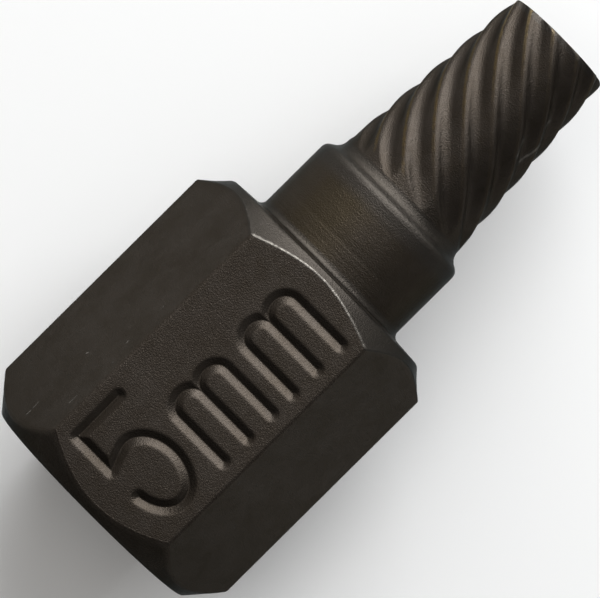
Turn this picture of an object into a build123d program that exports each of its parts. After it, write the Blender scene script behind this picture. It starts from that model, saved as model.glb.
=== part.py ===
"""Hex-head screw extractor for 5 mm holes, one solid piece of steel, lying on one of its flats.

Millimetres. The tool's axis is +X, from the head's end face at the origin to the biting tip.
+Z is up, through the middle of the hexagon's upper flat.
"""
from build123d import *
from math import ceil, cos, radians, sin, sqrt, tan
import os

# Hexagonal head, driven by a wrench or a socket
across_flats = 10.0
head_length = 12.0
hex_edge_radius = 0.12
end_face_diameter = 9.42
end_chamfer_angle = 49.5
shoulder_diameter = 9.56
top_chamfer_height = 1.0
top_chamfer_hollow = 0.085

# Round collar above the head
collar_diameter = 6.8
collar_length = 3.5
collar_root_chamfer = 0.12
collar_rim_radius = 0.25

# Neck between the collar and the splines
neck_diameter = 5.72
neck_length = 0.55
neck_root_radius = 0.25
step_corner_share = 0.48

# Tapered nose that is driven into the drilled hole
nose_length = 7.95
nose_tip_diameter = 4.44
tip_chamfer = 0.25

# Left-hand spiral splines, left standing between the flutes that are cut into the nose
spline_count = 11
spline_lead = 16.6
first_crest_angle = 92.0
crest_flat_depth = 0.06
flute_depth = 0.20
flute_runout = 1.05
flute_steep_share = 0.25
flute_gentle_share = 0.40

# How far the cutters reach past the metal, and how many sections shape a turn by one spline
cutter_margin = 1.0
sections_per_spline = 4

# Places along the axis
collar_end = head_length + collar_length
nose_start = collar_end + neck_length
total_length = nose_start + nose_length

# Radii of the turned profile
corner_radius = across_flats / 2 / cos(radians(30))
outside_radius = corner_radius + cutter_margin
end_face_radius = end_face_diameter / 2
shoulder_radius = shoulder_diameter / 2
collar_radius = collar_diameter / 2
neck_radius = neck_diameter / 2
tip_radius = nose_tip_diameter / 2

# The collar's rim and the neck's root share the height of the step between them
step_corner_limit = (collar_radius - neck_radius) * step_corner_share


def turned_blank():
    """The bar turned on a lathe: both chamfers, the collar, the neck and the tapered nose."""
    end_chamfer_reach = (outside_radius - end_face_radius) * tan(radians(end_chamfer_angle))
    top_chamfer_slope = (corner_radius - shoulder_radius) / top_chamfer_height
    chamfer_foot = (head_length - top_chamfer_height, corner_radius)
    chamfer_start = (chamfer_foot[0] - cutter_margin / top_chamfer_slope, outside_radius)
    shoulder_edge = (head_length, shoulder_radius)
    collar_root = (head_length, collar_radius)
    collar_rim = (collar_end, collar_radius)
    neck_root = (collar_end, neck_radius)
    tip_edge = (total_length, tip_radius)
    rounded = (
        (collar_rim, min(collar_rim_radius, step_corner_limit)),
        (neck_root, min(neck_root_radius, step_corner_limit)),
    )
    chamfered = ((collar_root, collar_root_chamfer), (tip_edge, tip_chamfer))

    with BuildSketch(Plane.XY) as section:
        with BuildLine():
            Polyline(
                (0, 0),
                (0, end_face_radius),
                (end_chamfer_reach, outside_radius),
                chamfer_start,
                chamfer_foot,
            )
            SagittaArc(chamfer_foot, shoulder_edge, -top_chamfer_hollow)
            Polyline(shoulder_edge, collar_root, collar_rim, neck_root, (nose_start, neck_radius))
            Polyline((nose_start, neck_radius), tip_edge, (total_length, 0), (0, 0))
        make_face()
        for corner, radius in rounded:
            fillet(section.vertices().sort_by_distance(corner)[0], radius)
        for corner, width in chamfered:
            chamfer(section.vertices().sort_by_distance(corner)[0], width)
    return revolve(section.sketch, Axis.X)


def hex_cutter():
    """What the milling of the six flats takes away: all that lies outside the hexagon."""
    with BuildPart() as cutter:
        with BuildSketch(Plane.YZ.offset(-cutter_margin)):
            Circle(outside_radius + cutter_margin)
            with BuildSketch(mode=Mode.PRIVATE) as hexagon:
                RegularPolygon(across_flats / 2, side_count=6, major_radius=False)
                fillet(hexagon.vertices(), hex_edge_radius)
            add(hexagon.sketch, mode=Mode.SUBTRACT)
        extrude(amount=head_length + 2 * cutter_margin)
    return cutter.part


def crest_radius(x):
    """Radius of the tapered nose over the spline crests, at the distance x from the end face."""
    return neck_radius + (tip_radius - neck_radius) * (x - nose_start) / nose_length


def flute_depth_at(x):
    """Depth of the flutes, which rise out of the metal on an arc just ahead of the neck."""
    short_of_full = max(nose_start + flute_runout - x, 0) / flute_runout
    return flute_depth * (1 - short_of_full ** 2)


def splined_section(x):
    """The splines cut across at x: one hollow flute after another, meeting in sharp crests.

    The crests lie just above the cone of the nose, which then trims them to narrow flats. Each
    flute is a cubic curve, and its two middle points are set so that its bed has the right depth.
    """
    half_pitch = 180 / spline_count
    steep_offset = half_pitch * (1 - 2 * flute_steep_share)
    gentle_offset = half_pitch * (1 - 2 * flute_gentle_share)
    sharp = crest_radius(x) + crest_flat_depth
    bed = crest_radius(x) - flute_depth_at(x)
    ends_at_middle = 2 * sharp * cos(radians(half_pitch)) / 8
    pulls_at_middle = 3 * (cos(radians(steep_offset)) + cos(radians(gentle_offset))) / 8
    pull = (bed - ends_at_middle) / pulls_at_middle
    crest_angle = first_crest_angle - 360 * (x - nose_start) / spline_lead

    def at(radius, angle):
        return (radius * cos(radians(angle)), radius * sin(radians(angle)))

    with BuildSketch(Plane.YZ.offset(x)) as section:
        with BuildLine():
            for number in range(spline_count):
                middle = crest_angle + half_pitch * (2 * number + 1)
                Bezier(
                    at(sharp, middle - half_pitch),
                    at(pull, middle - steep_offset),
                    at(pull, middle + gentle_offset),
                    at(sharp, middle + half_pitch),
                )
        make_face()
    return section.sketch


def flute_cutter():
    """What the flute cutting takes away: a ring around the lofted, left-turning splines."""
    lead_in = flute_runout * (sqrt(1 + crest_flat_depth / flute_depth) - 1)
    first = nose_start - lead_in
    last = total_length + cutter_margin
    splines_turned = (last - first) / spline_lead * spline_count
    steps = ceil(splines_turned * sections_per_spline)
    splines = loft([splined_section(first + (last - first) * n / steps) for n in range(steps + 1)])
    with BuildPart() as ring:
        with BuildSketch(Plane.YZ.offset(nose_start - lead_in / 2)):
            Circle(collar_radius + cutter_margin)
        extrude(amount=nose_length + lead_in / 2 + cutter_margin / 2)
    return ring.part - splines


screw_extractor = turned_blank() - hex_cutter() - flute_cutter()

os.makedirs("parts", exist_ok=True)
export_step(screw_extractor, "parts/screw_extractor.step")
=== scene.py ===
from collections import namedtuple
from math import atan2, cos, hypot, inf, pi, radians, sin, sqrt, tan

import bmesh
import bpy
import numpy as np
from mathutils import Matrix, Vector


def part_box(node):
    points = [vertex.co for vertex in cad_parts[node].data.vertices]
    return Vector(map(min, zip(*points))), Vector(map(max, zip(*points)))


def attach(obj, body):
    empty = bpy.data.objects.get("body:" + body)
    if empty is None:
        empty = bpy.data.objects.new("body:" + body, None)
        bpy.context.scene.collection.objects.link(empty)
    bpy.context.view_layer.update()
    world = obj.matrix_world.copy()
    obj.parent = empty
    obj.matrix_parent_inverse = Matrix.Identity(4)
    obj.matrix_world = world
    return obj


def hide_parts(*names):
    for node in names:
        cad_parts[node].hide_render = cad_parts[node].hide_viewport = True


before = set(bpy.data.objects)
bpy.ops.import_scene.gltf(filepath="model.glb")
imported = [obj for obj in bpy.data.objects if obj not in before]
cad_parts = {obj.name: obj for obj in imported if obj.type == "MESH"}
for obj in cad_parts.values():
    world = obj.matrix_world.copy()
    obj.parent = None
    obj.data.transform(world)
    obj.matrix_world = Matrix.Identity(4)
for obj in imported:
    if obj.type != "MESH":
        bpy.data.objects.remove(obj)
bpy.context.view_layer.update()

# Turned and milled blank
# The tool is one bar of hardened steel. A lathe cuts both chamfers of the head, the collar, the
# neck and the tapered nose, and a mill cuts the six flats. Its end face lies at the origin.
mm = 0.001
tolerance = 0.001 * mm
low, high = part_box("screw_extractor")
half_across_flats = (high.z - low.z) / 2
tool_length = high.x
flat_count = 6
half_edge_turn = radians(180 / flat_count)
sharp_corner_radius = half_across_flats / cos(half_edge_turn)
hex_edge_radius = 0.20 * mm
end_face_radius = 4.68 * mm
end_chamfer_slope = tan(radians(49.5))
head_length = 12.05 * mm
top_chamfer_height = 0.95 * mm
top_chamfer_hollow = 0.06 * mm
shoulder_radius = 4.77 * mm
shoulder_rise = 0.09 * mm
collar_radius = 3.40 * mm
collar_end = 15.39 * mm
turning_marks = (12.63 * mm, 12.80 * mm, 13.21 * mm)
turning_mark_width = 0.035 * mm
turning_mark_depth = 0.004 * mm
step_foot = 15.75 * mm
neck_radius = 2.86 * mm
nose_start = 16.05 * mm
nose_overhang = 0.10 * mm
nose_end = tool_length + nose_overhang
tip_radius = 2.22 * mm

# Radii of the soft corners of the turned outline
end_face_rounding = 0.15 * mm
end_chamfer_rounding = 0.22 * mm
top_chamfer_rounding = 0.10 * mm
shoulder_rounding = 0.50 * mm
collar_root_rounding = 0.27 * mm
collar_rim_rounding = 0.37 * mm
step_foot_rounding = 0.65 * mm
tip_rounding = 0.20 * mm

# Of each flat, from the marked one round towards -Y: how pale its coat is painted, which is
# painted light and shade, lighter on the flats towards +Y and darker on those towards -Y, and how
# worn its end is where the top chamfer cuts it, over the width given
flat_painted_shading = (0.96, 0.92, 0.92, 0.92, 1.0, 1.12)
flat_end_wear = (0.9, 0.35, 0.3, 0.3, 0.3, 0.4)
worn_end_width = 0.07 * mm

# How pale the coat is painted on the faces that the lathe cut, as painted light and shade: shade
# on the end face and end chamfer, which face away from the light, a little on the top chamfer too,
# and a painted highlight on the shoulder; and how worn the edges between them are
end_chamfer_painted_shade, top_chamfer_painted_shade, shoulder_painted_highlight = 0.67, 0.97, 2.2
slight_wear, rim_wear, tip_edge_wear = 0.2, 0.35, 0.45

# The mesh has a whole number of columns for each spline, counted from the first crest, and in all
# as many as the six flats and the rounded edges between them need
spline_count = 11
columns_per_spline = 24
columns = spline_count * columns_per_spline
flat_columns, edge_columns = 36, 8
first_crest_angle = radians(89.6)

# Steps of the mesh along each stretch of the outline, and the faces that close both its ends
end_face_steps, end_chamfer_steps, flat_steps = 4, 5, 64
top_chamfer_steps, shoulder_steps, collar_steps = 6, 4, 3
nose_steps, tip_face_steps = 108, 5
fewest_arc_steps, arc_step = 4, 0.1 * mm
pole_radius = 0.2 * mm

Corner = namedtuple("Corner", "x radius rounding steps wear tone", defaults=(0, 1, 0, 1))


def hexagon_outline():
    """Angle, radius, painted shading and end wear of each column of the head: six flats, rounded edges.
    """
    outline = []
    half_flat = (half_across_flats - hex_edge_radius) * tan(half_edge_turn)
    centre_radius = (half_across_flats - hex_edge_radius) / cos(half_edge_turn)
    for flat in range(flat_count):
        facing = radians(90 + 360 / flat_count * flat)
        following = (flat + 1) % flat_count
        points = []
        for n in range(flat_columns):
            points.append((half_across_flats, half_flat * (2 * n / flat_columns - 1), 0))
        for n in range(edge_columns):
            turn = 2 * half_edge_turn * n / edge_columns
            points.append((
                centre_radius * cos(half_edge_turn) + hex_edge_radius * cos(turn),
                centre_radius * sin(half_edge_turn) + hex_edge_radius * sin(turn),
                n / edge_columns,
            ))
        for out, along, share in points:
            tone = flat_painted_shading[flat] + (flat_painted_shading[following] - flat_painted_shading[flat]) * share
            wear = flat_end_wear[flat] + (flat_end_wear[following] - flat_end_wear[flat]) * share
            outline.append((facing + atan2(along, out), hypot(out, along), tone, wear))
    return outline


def chamfer_radius(x):
    """Radius of the slightly hollow chamfer that faces the nose, at the distance x."""
    share = (x - head_length + top_chamfer_height) / top_chamfer_height
    straight = sharp_corner_radius + (shoulder_radius - sharp_corner_radius) * share
    return straight - 4 * top_chamfer_hollow * share * (1 - share)


def chamfer_start(radius):
    """Distance x at which the chamfer comes out of a flat or an edge of that radius.

    It solves the quadratic in chamfer_radius for the share.
    """
    drop = sharp_corner_radius - shoulder_radius + 4 * top_chamfer_hollow
    root = sqrt(drop ** 2 - 16 * top_chamfer_hollow * (sharp_corner_radius - radius))
    share = (drop - root) / (8 * top_chamfer_hollow)
    return head_length + top_chamfer_height * (share - 1)


def blank_corners(radius, tone, wear):
    """Corners of the turned outline under one column of the head, from end face to tip face.

    Each has its x and radius, its rounding, the steps on to the next corner, its edge wear, and
    the painted shading of the coat from there to the next corner: painted light and shade that makes
    a face paler or darker by how light falls on it.
    """
    start = chamfer_start(radius)
    chamfer_end = (radius - end_face_radius) * end_chamfer_slope
    corners = [
        Corner(0, pole_radius, steps=end_face_steps, tone=end_chamfer_painted_shade),
        Corner(
            0, end_face_radius, end_face_rounding, end_chamfer_steps, slight_wear, end_chamfer_painted_shade
        ),
        Corner(chamfer_end, radius, end_chamfer_rounding, flat_steps, tone=tone),
        Corner(start - worn_end_width, radius),
        Corner(start, radius, top_chamfer_rounding, wear=wear),
    ]
    for n in range(1, top_chamfer_steps):
        x = start + (head_length - start) * n / top_chamfer_steps
        corners.append(Corner(x, chamfer_radius(x), wear=slight_wear, tone=top_chamfer_painted_shade))
    halfway = (shoulder_radius + collar_radius) / 2
    collar_root = head_length + shoulder_rise
    corners += [
        Corner(
            head_length, shoulder_radius, shoulder_rounding, wear=slight_wear, tone=top_chamfer_painted_shade
        ),
        Corner(head_length + shoulder_rise / 2, halfway, steps=shoulder_steps, tone=shoulder_painted_highlight),
        Corner(collar_root, collar_radius, collar_root_rounding, collar_steps, slight_wear),
    ]
    for x in turning_marks:
        corners.append(Corner(x - turning_mark_width, collar_radius))
        corners.append(Corner(x, collar_radius - turning_mark_depth))
        corners.append(Corner(x + turning_mark_width, collar_radius, steps=collar_steps))
    corners += [
        Corner(collar_end, collar_radius, collar_rim_rounding, wear=rim_wear),
        Corner(step_foot, neck_radius, step_foot_rounding, wear=slight_wear),
        Corner(nose_start, neck_radius, steps=nose_steps),
        Corner(nose_end, tip_radius, tip_rounding, tip_face_steps, tip_edge_wear),
        Corner(nose_end, pole_radius),
    ]
    return corners


def rounded_outline(corners):
    """Places along the outline with wear and painted shading: an arc at each rounded corner, then even
    steps.

    An arc takes nearly all of the straight run beside it, or just under half if it shares the run.
    """
    whole_run, shared_run = 0.95, 0.48
    places = [Vector((corner.x, corner.radius)) for corner in corners]
    arcs = [[place] for place in places]
    for n, corner in enumerate(corners):
        if corner.rounding:
            back, on = places[n - 1] - places[n], places[n + 1] - places[n]
            half_angle = back.angle(on) / 2
            reach = corner.rounding / tan(half_angle)
            for run, neighbour in ((back, corners[n - 1]), (on, corners[n + 1])):
                reach = min(reach, run.length * (shared_run if neighbour.rounding else whole_run))
            rounding = reach * tan(half_angle)
            middle = (back.normalized() + on.normalized()).normalized()
            centre = places[n] + middle * (rounding / sin(half_angle))
            first = places[n] + back.normalized() * reach - centre
            last = places[n] + on.normalized() * reach - centre
            steps = fewest_arc_steps + int(corner.rounding / arc_step)
            arcs[n] = [centre + first.slerp(last, k / steps) * rounding for k in range(steps + 1)]
    outline = []
    for n, corner in enumerate(corners):
        outline += [(place, corner.wear, corner.tone) for place in arcs[n]]
        for k in range(1, corner.steps):
            outline.append((arcs[n][-1].lerp(arcs[n + 1][0], k / corner.steps), 0, corner.tone))
    return outline


def make_blank():
    """The closed mesh of the blank: one column of points after another, round the axis.

    Over the shoulder the columns slide from where the hexagon needs them to even distances.
    """
    blank = bmesh.new()
    values = blank.verts.layers.float
    # One layer holds the painted light and shade of each face, by which its coat is paler or darker
    edge_wear, turned, tone = values.new("edge_wear"), values.new("turned"), values.new("tone")
    column_turn = 2 * pi / columns
    outline = hexagon_outline()
    first_angle = outline[0][0]
    crest_offset = (first_crest_angle - first_angle) % column_turn
    slide_start, slide_length = 4.6 * mm, 0.9 * mm
    grid = []
    for number, (angle, radius, column_painted_shading, column_wear) in enumerate(outline):
        even_angle = first_angle + crest_offset + number * column_turn
        column = []
        for point, wear, place_painted_shading in rounded_outline(blank_corners(radius, column_painted_shading, column_wear)):
            slid = 0
            if point.x > head_length / 2:
                slid = min(max((slide_start - point.y) / slide_length, 0), 1)
            turn = angle + (even_angle - angle) * slid
            vertex = blank.verts.new((point.x, point.y * cos(turn), point.y * sin(turn)))
            vertex[edge_wear] = wear
            vertex[turned] = abs(point.y - radius) > tolerance and point.x < nose_start
            vertex[tone] = place_painted_shading
            column.append(vertex)
        grid.append(column)
    for column, following in zip(grid, grid[1:] + grid[:1]):
        for n in range(len(column) - 1):
            blank.faces.new((column[n], following[n], following[n + 1], column[n + 1]))
    for end in (0, -1):
        blank.faces.new([column[end] for column in grid])
    bmesh.ops.recalc_face_normals(blank, faces=blank.faces)
    return blank


# Size mark
# The number and its unit are pressed into the upper flat with a stamp. Each stroke leaves a
# groove with two sloping sides, rounded ends and a soft rim, and irons the grain in it smooth.
stroke_half_width = 0.28 * mm
stroke_lean = 0.008 * mm
stroke_depth = 0.155 * mm
rim_softness = 0.12
bed_softness = 0.006 * mm
ironed_depth = 0.04 * mm

# The flat's mesh is made finer round the strokes, and finer again along their centre lines
rim_reach, rim_cuts = stroke_half_width + 0.13 * mm, 3
bed_reach, bed_cuts = 0.06 * mm, 1


def arc_points(centre, half_axes, start, end, steps):
    """Points (x, y) along an ellipse between two angles in degrees."""
    angles = [radians(start + (end - start) * n / steps) for n in range(steps + 1)]
    return [(centre[0] + half_axes[0] * cos(a), centre[1] + half_axes[1] * sin(a)) for a in angles]


def mark_strokes():
    """Centre lines of the strokes on the flat, in millimetres: the figure and twice the letter."""
    stem_top, stem_foot = (1.66, 2.12), (1.66, 0.43)
    bar_start, bar_end = (1.76, 2.12), (3.72, 2.14)
    bowl_centre, bowl_half_axes = (2.70, -0.67), (1.02, 1.45)
    bowl_start, bowl_end, bowl_steps = 110, -170, 40
    bowl = arc_points(bowl_centre, bowl_half_axes, bowl_start, bowl_end, bowl_steps)
    strokes = [[stem_foot, stem_top], [bar_start, bar_end], [stem_foot] + bowl]
    letter_places, letter_legs, letter_gap = (4.71, 8.165), 3, 1.21
    letter_foot, letter_shoulder = -2.14, 0.09
    arch_height, arch_steps = 0.55, 16
    for letter_x in letter_places:
        for n in range(letter_legs):
            x = letter_x + n * letter_gap
            strokes.append([(x, letter_foot), (x, letter_shoulder)])
        for n in range(letter_legs - 1):
            middle = letter_x + (n + 0.5) * letter_gap
            centre = (middle, letter_shoulder)
            strokes.append(arc_points(centre, (letter_gap / 2, arch_height), 180, 0, arch_steps))
    return strokes


def stroke_distances(points, strokes):
    """Each point's distance from the nearest stroke, and how far it lies towards +x of it."""
    nearest = np.full(len(points), inf)
    ahead = np.zeros(len(points))
    for stroke in strokes:
        ends = np.array(stroke) * mm
        for start, end in zip(ends, ends[1:]):
            along = end - start
            share = np.clip((points - start) @ along / (along @ along), 0, 1)
            away = points - start - share[:, None] * along
            gap = np.linalg.norm(away, axis=1)
            ahead = np.where(gap < nearest, away[:, 0], ahead)
            nearest = np.minimum(nearest, gap)
    return nearest, ahead


def on_flat(points, facing):
    """Each point's (x, across) on the flat that faces that angle from +Y, and its distance out."""
    x, y, z = np.array([tuple(point) for point in points]).T
    across = y * sin(facing) - z * cos(facing)
    return np.stack((x, across), axis=1), y * cos(facing) + z * sin(facing)


def refine(blank, facing, strokes, reach, cuts):
    """Cuts the faces of one flat that lie near the strokes into smaller ones."""
    faces = list(blank.faces)
    centres, heights = on_flat([face.calc_center_median() for face in faces], facing)
    close = stroke_distances(centres, strokes)[0] < reach
    close &= heights > half_across_flats - tolerance
    edges = {edge for face, near in zip(faces, close) if near for edge in face.edges}
    bmesh.ops.subdivide_edges(blank, edges=list(edges), cuts=cuts, use_grid_fill=True)


def press_mark(blank):
    """Refines the marked flat round the strokes and sinks their grooves into it.

    The side of a groove that faces the tip is wider and less steep than the one that faces the head.
    """
    strokes = mark_strokes()
    facing = radians(90)
    pressed = blank.verts.layers.float.new("pressed")
    refine(blank, facing, strokes, rim_reach, rim_cuts)
    refine(blank, facing, strokes, bed_reach, bed_cuts)
    points = [v for v in blank.verts if v.co.z > half_across_flats - tolerance]
    distances, ahead = stroke_distances(on_flat([v.co for v in points], facing)[0], strokes)
    half_widths = stroke_half_width - stroke_lean * ahead / np.maximum(distances, tolerance)
    soft = np.sqrt(distances ** 2 + bed_softness ** 2) - bed_softness
    rise = 1 - soft / half_widths
    depths = stroke_depth * (rise + np.sqrt(rise ** 2 + rim_softness ** 2)) / 2
    # Further out than one and a half times that half width, the flat stays where it was
    outer_rise = -0.5
    outer_depth = stroke_depth * (outer_rise + sqrt(outer_rise ** 2 + rim_softness ** 2)) / 2
    for vertex, depth in zip(points, depths):
        sunk = max(depth - outer_depth, 0)
        vertex.co.z -= sunk
        vertex[pressed] = min(sunk / ironed_depth, 1)


# Nicks
# Knocks have left short, bright dents in the two flats beside the marked one, and three long
# ones across the splines of the nose. Each is a shallow scratch down to bare steel.
flat_nick_width, flat_nick_depth, flat_nick_wear = 0.045 * mm, 0.018 * mm, 1.2
nose_nick_width, nose_nick_depth, nose_nick_wear = 0.13 * mm, 0.03 * mm, 1.3
nick_reach, nick_cuts = 0.15 * mm, 4

# Length of one turn of the splines, which are twisted only after the nicks are made
spline_lead = 16.6 * mm

# Each group is on the flat that faces that many degrees from +Y. Its points are x and the distance
# across in millimetres.
flat_nicks = {
    30: (
        [(0.82, -0.66), (1.02, -0.68)], [(1.16, -0.65), (1.44, -0.63)], [(3.88, -0.56), (3.96, -0.64)],
        [(2.27, -2.25), (2.66, -2.26)], [(4.37, -2.39), (4.42, -2.39)], [(5.21, -2.08), (5.33, -2.10)],
        [(7.02, -2.13), (7.08, -2.11)],
    ),
    150: ([(4.50, 2.44), (4.62, 2.44)], [(3.22, 0.30), (3.25, 0.36)], [(5.33, 0.76), (5.37, 0.78)]),
}
# On the nose, each point is x in millimetres and the angle from the top towards +Y in degrees
nose_nicks = (
    [(19.95, -48.0), (20.50, -43.5)], [(21.00, -61.0), (21.30, -55.0), (21.70, -54.0)],
    [(19.90, -62.0), (21.00, -62.5)],
)


def dent(blank, vertices, distances, inwards, width, depth, wear):
    """Sinks the vertices that lie near a nick, and bares the steel there."""
    edge_wear = blank.verts.layers.float["edge_wear"]
    for vertex, distance, inward in zip(vertices, distances, inwards):
        share = max(1 - distance / width, 0)
        if share:
            vertex.co += Vector(inward) * depth * share
            vertex[edge_wear] = max(vertex[edge_wear], wear * share)


def nick_flats(blank):
    """Refines the flats round their nicks, and makes the nicks."""
    for degrees, strokes in flat_nicks.items():
        facing = radians(degrees)
        refine(blank, facing, strokes, nick_reach, nick_cuts)
        places, heights = on_flat([v.co for v in blank.verts], facing)
        distances = stroke_distances(places, strokes)[0]
        distances[heights <= half_across_flats - tolerance] = inf
        inwards = [(0, -cos(facing), -sin(facing))] * len(distances)
        dent(blank, blank.verts, distances, inwards, flat_nick_width, flat_nick_depth, flat_nick_wear)


def nick_nose(blank):
    """Makes the nicks of the nose, at the places that its twist will turn to where they belong."""
    nose = [v for v in blank.verts if v.co.x > nose_start]
    x, y, z = np.array([v.co for v in nose]).T
    radius = np.maximum(np.hypot(y, z), pole_radius)
    twist = 2 * pi * (x - nose_start) / spline_lead
    from_top = (pi / 2 - np.arctan2(z, y) + twist + pi) % (2 * pi) - pi
    nose_radius = (neck_radius + tip_radius) / 2
    places = np.stack((x, from_top * nose_radius), axis=1)
    strokes = [
        [(along, radians(turn) * nose_radius / mm) for along, turn in stroke] for stroke in nose_nicks
    ]
    inwards = np.stack((0 * x, -y / radius, -z / radius), axis=1)
    distances = stroke_distances(places, strokes)[0]
    dent(blank, nose, distances, inwards, nose_nick_width, nose_nick_depth, nose_nick_wear)


blank = make_blank()
press_mark(blank)
nick_flats(blank)
nick_nose(blank)
mesh = bpy.data.meshes.new("screw_extractor_blank")
blank.to_mesh(mesh)
blank.free()
mesh.shade_smooth()
tool = bpy.data.objects.new("extractor_body", mesh)
bpy.context.collection.objects.link(tool)

# Blackened steel
# All of the tool wears the same finish: a dark phosphate coat of fine grain, oiled, over hardened
# steel. Turned faces keep the lathe's rings, the collar has a straw tinge with a band of painted
# warm light, each face is painted lighter or darker as painted light and shade, and edges are
# worn, painted brighter on the side towards +Y as a painted highlight.
coat_brown = (0.0475, 0.0388, 0.0307, 1)
coat_grey = (0.0590, 0.0496, 0.0415, 1)
# Straw tinge of the collar, and the colour of the painted warm light on its band towards +Y
straw_and_painted_light = (0.0590, 0.0470, 0.0305, 1)
rubbed_grey = (0.0560, 0.0494, 0.0428, 1)
bare_steel = (0.230, 0.212, 0.188, 1)
worn_gold = (0.098, 0.072, 0.039, 1)
tip_gold = (0.175, 0.134, 0.076, 1)
steep_tint = (0.39, 0.415, 0.425, 1)
grain_size, ring_size, ragged_size = 0.058 * mm, 0.16 * mm, 0.16 * mm
cloud_size, patch_size = 1.3 * mm, 0.35 * mm
bump_height = 0.032 * mm


def feed(tree, socket, source):
    """Links a socket to its source, or gives it that value if the source is a plain one."""
    if isinstance(source, bpy.types.NodeSocket):
        tree.links.new(source, socket)
    elif source is not None:
        socket.default_value = source


def wire(tree, kind, *sources, **settings):
    """Adds a node with its settings, and feeds its inputs in order. None leaves an input alone."""
    node = tree.nodes.new(kind)
    for name, value in settings.items():
        setattr(node, name, value)
    for socket, source in zip(node.inputs, sources):
        feed(tree, socket, source)
    return node


def calc(tree, operation, *sources, clamp=False):
    """The result of one Math node."""
    return wire(tree, "ShaderNodeMath", *sources, operation=operation, use_clamp=clamp).outputs[0]


def product(tree, first, second):
    """Two values multiplied."""
    return calc(tree, "MULTIPLY", first, second)


def axis_distance(tree, y, z):
    """Distance from the tool's axis."""
    return calc(tree, "SQRT", calc(tree, "ADD", product(tree, y, y), product(tree, z, z)))


def span(tree, value, least, most, start=0.0, end=1.0):
    """The value mapped from one range to another, and held at its ends."""
    return wire(tree, "ShaderNodeMapRange", value, least, most, start, end).outputs[0]


def noise(tree, place, size, detail, roughness):
    """Cloudy noise with features of about the given size, in metres."""
    return wire(tree, "ShaderNodeTexNoise", place, None, 1 / size, detail, roughness).outputs[0]


def mixed(tree, share, first, second):
    """Two colours mixed by a share from 0 to 1."""
    node = wire(tree, "ShaderNodeMix", share, data_type="RGBA")
    # Its sockets for colours come after those for numbers and vectors
    feed(tree, node.inputs[6], first)
    feed(tree, node.inputs[7], second)
    return node.outputs[2]


def attribute(tree, name):
    """A value stored on the mesh under that name."""
    return wire(tree, "ShaderNodeAttribute", attribute_name=name).outputs["Fac"]


dark_steel = bpy.data.materials.new("blackened_steel")
dark_steel.use_nodes = True
coat = dark_steel.node_tree
shader = coat.nodes["Principled BSDF"]

# Where a point lies: on the head, collar or nose, how far from the axis, and how far towards +Y
collar_blend = (head_length - 0.2 * mm, head_length + 0.3 * mm)
place = coat.nodes.new("ShaderNodeTexCoord").outputs["Object"]
x, y, z = wire(coat, "ShaderNodeSeparateXYZ", place).outputs
from_axis = axis_distance(coat, y, z)
sideways = calc(coat, "DIVIDE", y, from_axis)
on_collar = span(coat, x, *collar_blend)
on_nose = span(coat, x, collar_end, nose_start)
turned, pressed, edge_wear = (attribute(coat, name) for name in ("turned", "pressed", "edge_wear"))

# Fine grain, which the stamp has ironed smoother in the mark, and the lathe's rings
plain_grain, ironed_grain = 0.85, 0.5
ring_detail, ring_roughness, ring_share = 3.0, 0.65, 0.35
grain = noise(coat, place, grain_size, detail=3.0, roughness=0.6)
grain_height = product(coat, grain, span(coat, pressed, 0.0, 1.0, plain_grain, ironed_grain))
across_rings = calc(coat, "ADD", x, from_axis)
rings = wire(
    coat, "ShaderNodeTexNoise", None, across_rings, 1 / ring_size, ring_detail, ring_roughness,
    noise_dimensions="1D",
)
ring_height = product(coat, product(coat, rings.outputs[0], turned), ring_share)
bump = wire(coat, "ShaderNodeBump")
bump.inputs["Distance"].default_value = bump_height
coat.links.new(calc(coat, "ADD", grain_height, ring_height), bump.inputs["Height"])
coat.links.new(bump.outputs["Normal"], shader.inputs["Normal"])

# The coat is brown and grey in large clouds and small patches
cloud_share, patch_share = 0.6, 0.4
brownest, greyest = 0.36, 0.64
clouds = noise(coat, place, cloud_size, detail=4.0, roughness=0.6)
patches = noise(coat, place, patch_size, detail=3.0, roughness=0.6)
paleness = calc(
    coat, "ADD", product(coat, clouds, cloud_share), product(coat, patches, patch_share)
)
colour = mixed(coat, span(coat, paleness, brownest, greyest), coat_brown, coat_grey)

# The collar has a straw tinge all round, and a stronger one on a band between its top and its side
# towards +Y, which is painted light: the warm sheen of the light from that side. The coat is
# rubbed grey on the faces and corners next to an edge
straw_least, painted_sheen_share = 0.2, 0.7
sheen_clouds = (0.35, 0.6, 0.6, 1.0)
band_rise, band_fall = (0.0, 0.3), (0.78, 0.66)
rubbed_range = (0.0, 0.25)
collar_only = calc(coat, "SUBTRACT", on_collar, on_nose, clamp=True)
painted_light_band = product(coat, span(coat, sideways, *band_rise), span(coat, sideways, *band_fall))
straw_and_painted_sheen = product(coat, span(coat, clouds, *sheen_clouds), painted_light_band)
straw_and_painted_sheen = calc(coat, "ADD", product(coat, straw_and_painted_sheen, painted_sheen_share), straw_least)
colour = mixed(coat, product(coat, straw_and_painted_sheen, collar_only), colour, straw_and_painted_light)
colour = mixed(coat, span(coat, edge_wear, *rubbed_range), colour, rubbed_grey)

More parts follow.
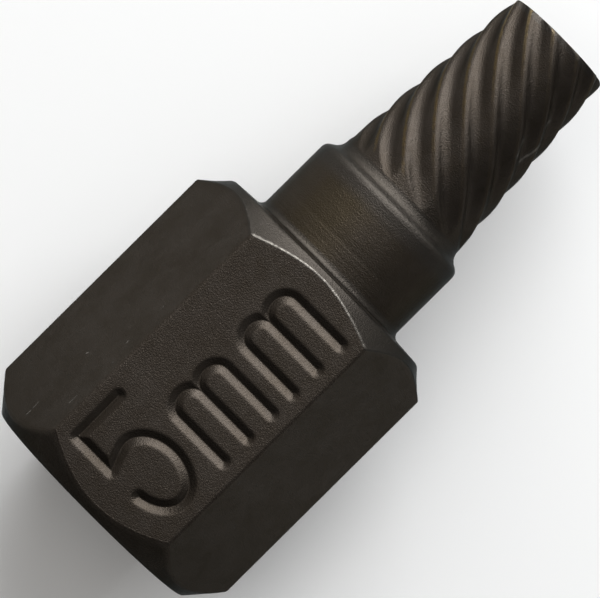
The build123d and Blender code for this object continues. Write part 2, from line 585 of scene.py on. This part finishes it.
# Each face has its painted shading: painted light and shade. The head is painted darker by its end
# face, as painted shade. What the lathe cut beyond the flats is painted darker towards -Y, as
# painted shade on the side away from the light, from further round on the collar, but the middle of
# the tip face isn't.
end_painted_shade_depth, side_painted_shade_depth, chamfer_share, collar_shift = 0.15, 0.28, 1.1, 0.35
dark_end, light_end = 0.5 * mm, 4.5 * mm
side_shade_range = (-0.07, -0.35)
face_middle, face_rim = 1.2 * mm, 1.95 * mm
painted_end_shade = span(coat, x, dark_end, light_end, 1 - end_painted_shade_depth, 1.0)
on_chamfer = product(coat, turned, calc(coat, "GREATER_THAN", x, head_length / 2))
side_shade_reach = calc(coat, "MAXIMUM", product(coat, on_chamfer, chamfer_share), on_collar)
side_shade_reach = product(coat, side_shade_reach, span(coat, from_axis, face_middle, face_rim))
round_to_side = calc(coat, "ADD", sideways, product(coat, collar_only, collar_shift))
painted_side_shade = product(coat, side_shade_reach, span(coat, round_to_side, *side_shade_range, 0.0, side_painted_shade_depth))
painted_shade = product(coat, painted_end_shade, calc(coat, "SUBTRACT", 1.0, painted_side_shade))
# The coat's colour is scaled by the painted light and shade of each face and by the painted shade
# towards the end and towards -Y
painted_shading_colour = wire(coat, "ShaderNodeVectorMath", colour, operation="SCALE")
coat.links.new(product(coat, attribute(coat, "tone"), painted_shade), painted_shading_colour.inputs["Scale"])
colour = painted_shading_colour.outputs[0]

# Crests of the splines are worn to gold, which is brighter by the tip, and edges to bare steel,
# both with a ragged border. Both are painted stronger on the side towards +Y, as a painted
# highlight where the light falls
ragged_strength = 1.5
gilded_range, worn_range = (0.45, 1.0), (0.55, 1.05)
gold_highlight_side, bare_highlight_side = (0.0, 0.5, 0.1, 1.0), (-0.4, 0.0, 0.3, 1.0)
tip_blend = (nose_end - 1.9 * mm, nose_end - 0.5 * mm)
ragged = noise(coat, place, ragged_size, detail=3.0, roughness=0.65)
ragged = product(coat, calc(coat, "SUBTRACT", ragged, 0.5), ragged_strength)
gold_wear_and_highlight = span(coat, calc(coat, "ADD", attribute(coat, "crest_wear"), ragged), *gilded_range)
# Painted highlight: the gold crests show mostly on the side towards +Y
gold_wear_and_highlight = product(coat, gold_wear_and_highlight, span(coat, sideways, *gold_highlight_side))
at_tip = span(coat, x, *tip_blend)
colour = mixed(coat, gold_wear_and_highlight, colour, mixed(coat, at_tip, worn_gold, tip_gold))
bare_wear_and_highlight = span(coat, calc(coat, "ADD", edge_wear, ragged), *worn_range)
# Painted highlight: bare edges show more on the side towards +Y
bare_wear_and_highlight = product(coat, bare_wear_and_highlight, span(coat, sideways, *bare_highlight_side))
colour = mixed(coat, bare_wear_and_highlight, colour, bare_steel)
coat.links.new(colour, shader.inputs["Base Color"])

# The finish is satin, a little smoother in the mark, and reflects less than bare metal at a slant
smooth, rough, ironed_by = 0.36, 0.41, 0.05
cloud_range = (0.3, 0.7)
roughness = span(coat, clouds, *cloud_range, smooth, rough)
roughness = calc(coat, "SUBTRACT", roughness, product(coat, pressed, ironed_by))
coat.links.new(roughness, shader.inputs["Roughness"])
shader.inputs["Metallic"].default_value = 1
shader.inputs["Specular Tint"].default_value = steep_tint

# Spiral flutes of the nose
# Eleven flutes are cut into the tapered nose in a left-hand spiral and leave narrow splines.
# They rise out of the metal just ahead of the neck and run out through the tip.
flute_depth = 0.205 * mm
flute_runout = 1.05 * mm
tip_wear_length = 0.6 * mm
tip_wear_gain = 1.5

# Across one flute, from crest to crest: the share of its depth, and how worn the metal is
flute_profile = (
    (0.0, 0.0), (0.1, 0.17), (0.2, 0.57), (0.3, 0.85), (0.4, 0.985), (0.5, 0.965), (0.6, 0.80),
    (0.7, 0.58), (0.8, 0.35), (0.9, 0.14), (1.0, 0.0),
)
crest_profile = ((0.0, 0.8), (0.03, 0.3), (0.06, 0.0), (0.84, 0.0), (0.92, 1.0), (1.0, 0.8))


def curve_node(tree, value, points, handles):
    """The value put through a curve of a few points."""
    node = wire(tree, "ShaderNodeFloatCurve", 1.0, value)
    curve = node.mapping.curves[0]
    curve.points[0].location = points[0]
    curve.points[1].location = points[-1]
    for location in points[1:-1]:
        curve.points.new(*location)
    for point in curve.points:
        point.handle_type = handles
    node.mapping.update()
    return node.outputs[0]


flutes = bpy.data.node_groups.new("spiral_flutes", "GeometryNodeTree")
flute_sizes = {
    "Nose Start": nose_start,
    "Nose End": nose_end,
    "Root Radius": neck_radius,
    "Tip Radius": tip_radius,
    "Spline Count": spline_count,
    "Lead": spline_lead,
    "First Crest": first_crest_angle,
    "Flute Depth": flute_depth,
    "Run-out": flute_runout,
    "Tip Wear": tip_wear_length,
}
flutes.interface.new_socket("Geometry", in_out="INPUT", socket_type="NodeSocketGeometry")
for name in flute_sizes:
    flutes.interface.new_socket(name, in_out="INPUT", socket_type="NodeSocketFloat")
flutes.interface.new_socket("Material", in_out="INPUT", socket_type="NodeSocketMaterial")
flutes.interface.new_socket("Geometry", in_out="OUTPUT", socket_type="NodeSocketGeometry")
given = flutes.nodes.new("NodeGroupInput").outputs
position = flutes.nodes.new("GeometryNodeInputPosition").outputs[0]
x, y, z = wire(flutes, "ShaderNodeSeparateXYZ", position).outputs
radius = axis_distance(flutes, y, z)
along = calc(flutes, "SUBTRACT", x, given["Nose Start"])

# How far each point lies from one crest to the next. The nudge keeps points on a crest together.
crest_nudge = 0.001
from_crest = calc(flutes, "SUBTRACT", calc(flutes, "ARCTAN2", z, y), given["First Crest"])
pitches = product(flutes, calc(flutes, "DIVIDE", from_crest, 2 * pi), given["Spline Count"])
phase = calc(flutes, "FRACT", calc(flutes, "ADD", pitches, crest_nudge))

# Over the run-out the cutter lifts, so that each flute starts narrow at its deepest line
short = calc(flutes, "MAXIMUM", calc(flutes, "SUBTRACT", given["Run-out"], along), 0.0)
lift = calc(flutes, "POWER", calc(flutes, "DIVIDE", short, given["Run-out"]), 2.0)
sunk = calc(flutes, "SUBTRACT", curve_node(flutes, phase, flute_profile, "AUTO"), lift, clamp=True)
cone = span(
    flutes, x, given["Nose Start"], given["Nose End"], given["Root Radius"], given["Tip Radius"]
)
bed = calc(flutes, "SUBTRACT", cone, product(flutes, sunk, given["Flute Depth"]))

# Each point moves in to the bed of its flute, and then turns to the left round the axis
pull = calc(flutes, "MINIMUM", calc(flutes, "DIVIDE", bed, radius), 1.0)
fluted = wire(flutes, "ShaderNodeCombineXYZ", x, product(flutes, y, pull), product(flutes, z, pull))
twisted = wire(flutes, "ShaderNodeVectorRotate", fluted.outputs[0], rotation_type="X_AXIS")
turns = calc(flutes, "DIVIDE", along, given["Lead"])
flutes.links.new(product(flutes, turns, -2 * pi), twisted.inputs["Angle"])

# Crests wear where the flutes are fully cut, more towards the tip, and not on the tip's flat face
full_crest = calc(flutes, "SUBTRACT", 1.0, lift, clamp=True)
crest = product(flutes, curve_node(flutes, phase, crest_profile, "VECTOR"), full_crest)
face_share, crest_share = 0.80, 0.92
from_face = span(flutes, calc(flutes, "DIVIDE", radius, cone), face_share, crest_share)
crest = product(flutes, crest, from_face)
tip_wear_start = calc(flutes, "SUBTRACT", given["Nose End"], given["Tip Wear"])
tip_wear = span(flutes, x, tip_wear_start, given["Nose End"], 1.0, tip_wear_gain)
stored = wire(flutes, "GeometryNodeStoreNamedAttribute", given["Geometry"], True, "crest_wear")
flutes.links.new(product(flutes, crest, tip_wear), stored.inputs["Value"])

past_neck = calc(flutes, "GREATER_THAN", along, 0.0)
moved = wire(flutes, "GeometryNodeSetPosition", stored.outputs[0], past_neck, twisted.outputs[0])
real = wire(flutes, "GeometryNodeRealizeInstances", moved.outputs[0])
coated = wire(flutes, "GeometryNodeSetMaterial", real.outputs[0], True, given["Material"])
wire(flutes, "NodeGroupOutput", coated.outputs[0])

modifier = tool.modifiers.new("spiral_flutes", "NODES")
modifier.node_group = flutes
sockets = {item.name: item.identifier for item in flutes.interface.items_tree if item.in_out == "INPUT"}
for name, value in flute_sizes.items():
    modifier[sockets[name]] = value
modifier[sockets["Material"]] = dark_steel
evaluated = tool.evaluated_get(bpy.context.evaluated_depsgraph_get())
finished = bpy.data.meshes.new_from_object(evaluated)
tool.modifiers.clear()
tool.data = finished
finished.name = "extractor_body"
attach(tool, "root")
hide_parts("screw_extractor")

# Floor
# The tool lies on a plain, matt white sheet, on the flat that is opposite its size mark.
floor_reach = 0.6
sheet_white = (0.955, 0.95, 0.94, 1)
sides = ((-1, -1), (1, -1), (1, 1), (-1, 1))
floor_mesh = bpy.data.meshes.new("floor")
floor_mesh.from_pydata([(a * floor_reach, b * floor_reach, low.z) for a, b in sides], [], [(0, 1, 2, 3)])
floor = bpy.data.objects.new("floor", floor_mesh)
bpy.context.collection.objects.link(floor)
white_sheet = bpy.data.materials.new("white_sheet")
white_sheet.use_nodes = True
sheet_shader = white_sheet.node_tree.nodes["Principled BSDF"]
sheet_shader.inputs["Base Color"].default_value = sheet_white
sheet_shader.inputs["Roughness"].default_value = 1
sheet_shader.inputs["Specular IOR Level"].default_value = 0
floor_mesh.materials.append(white_sheet)

# Lights
# A bright soft box stands low beyond the tip, with a wide dim glow behind it. One hangs overhead,
# and dim ones fill both sides. Little light comes from beyond the head, so its end stays dark.
dim_world = (0.035, 0.035, 0.035, 1)
cool_white, warm_white, plain_white = (0.98, 1.0, 1.02), (1.03, 1.0, 0.96), (1, 1, 1)
world = bpy.data.worlds.new("studio")
bpy.context.scene.world = world
world.use_nodes = True
world.node_tree.nodes["Background"].inputs["Color"].default_value = dim_world


def softbox(name, azimuth, elevation, distance, width, height, brightness, tint, roll=0):
    """A rectangular lamp that faces the tool; a mirror on the tool would show its brightness.

    Its azimuth, elevation and roll are in degrees, and its distance and size in metres.
    """
    lamp = bpy.data.lights.new(name, "AREA")
    lamp.shape = "RECTANGLE"
    lamp.size, lamp.size_y = width, height
    lamp.energy = brightness * pi * width * height
    lamp.color = tint
    box = bpy.data.objects.new(name, lamp)
    around, up = radians(azimuth), radians(elevation)
    towards = Vector((cos(around) * cos(up), sin(around) * cos(up), sin(up)))
    middle = Vector((tool_length / 2, 0, 0))
    box.location = middle + towards * distance
    facing = towards.to_track_quat("Z", "Y").to_matrix()
    box.rotation_euler = (facing @ Matrix.Rotation(radians(roll), 3, "Z")).to_euler()
    box.visible_camera = False
    bpy.context.collection.objects.link(box)


softbox("key", 14, 24.4, 0.30, 0.326, 0.283, 5.6, cool_white, roll=14)
softbox("key_glow", 11, 33, 0.50, 0.80, 0.709, 0.58, cool_white)
softbox("overhead", 95, 71, 0.45, 0.314, 0.513, 0.755, warm_white)
softbox("left_fill", 98, 19.5, 0.40, 0.423, 0.320, 0.44, warm_white)
softbox("right_fill", -75, 44, 0.45, 0.612, 0.537, 0.27, plain_white)
softbox("back_fill", 180, 60, 0.50, 0.687, 0.527, 0.18, plain_white)

# Camera
# It looks almost straight down on the marked flat, from a little towards +Y, and is turned so
# that the tool's tip points to the upper right. Its lens and sensor are given in millimetres.
focal_length, sensor_width = 266.4, 36
camera_height = 162.6 * mm
camera_lean = 2.0 * mm
camera_turn = radians(-44.75)
nearest_seen = 10 * mm
aim_x, aim_y = 10.71 * mm, -0.02 * mm
camera = bpy.data.objects.new("camera", bpy.data.cameras.new("camera"))
camera.data.lens = focal_length
camera.data.sensor_width = sensor_width
camera.data.clip_start = nearest_seen
camera.location = (aim_x, aim_y + camera_lean, camera_height)
lean = Matrix.Rotation(-atan2(camera_lean, camera_height), 3, "X")
camera.rotation_euler = (lean @ Matrix.Rotation(camera_turn, 3, "Z")).to_euler()
bpy.context.collection.objects.link(camera)
bpy.context.scene.camera = camera

bpy.context.scene.view_settings.view_transform = "Standard"
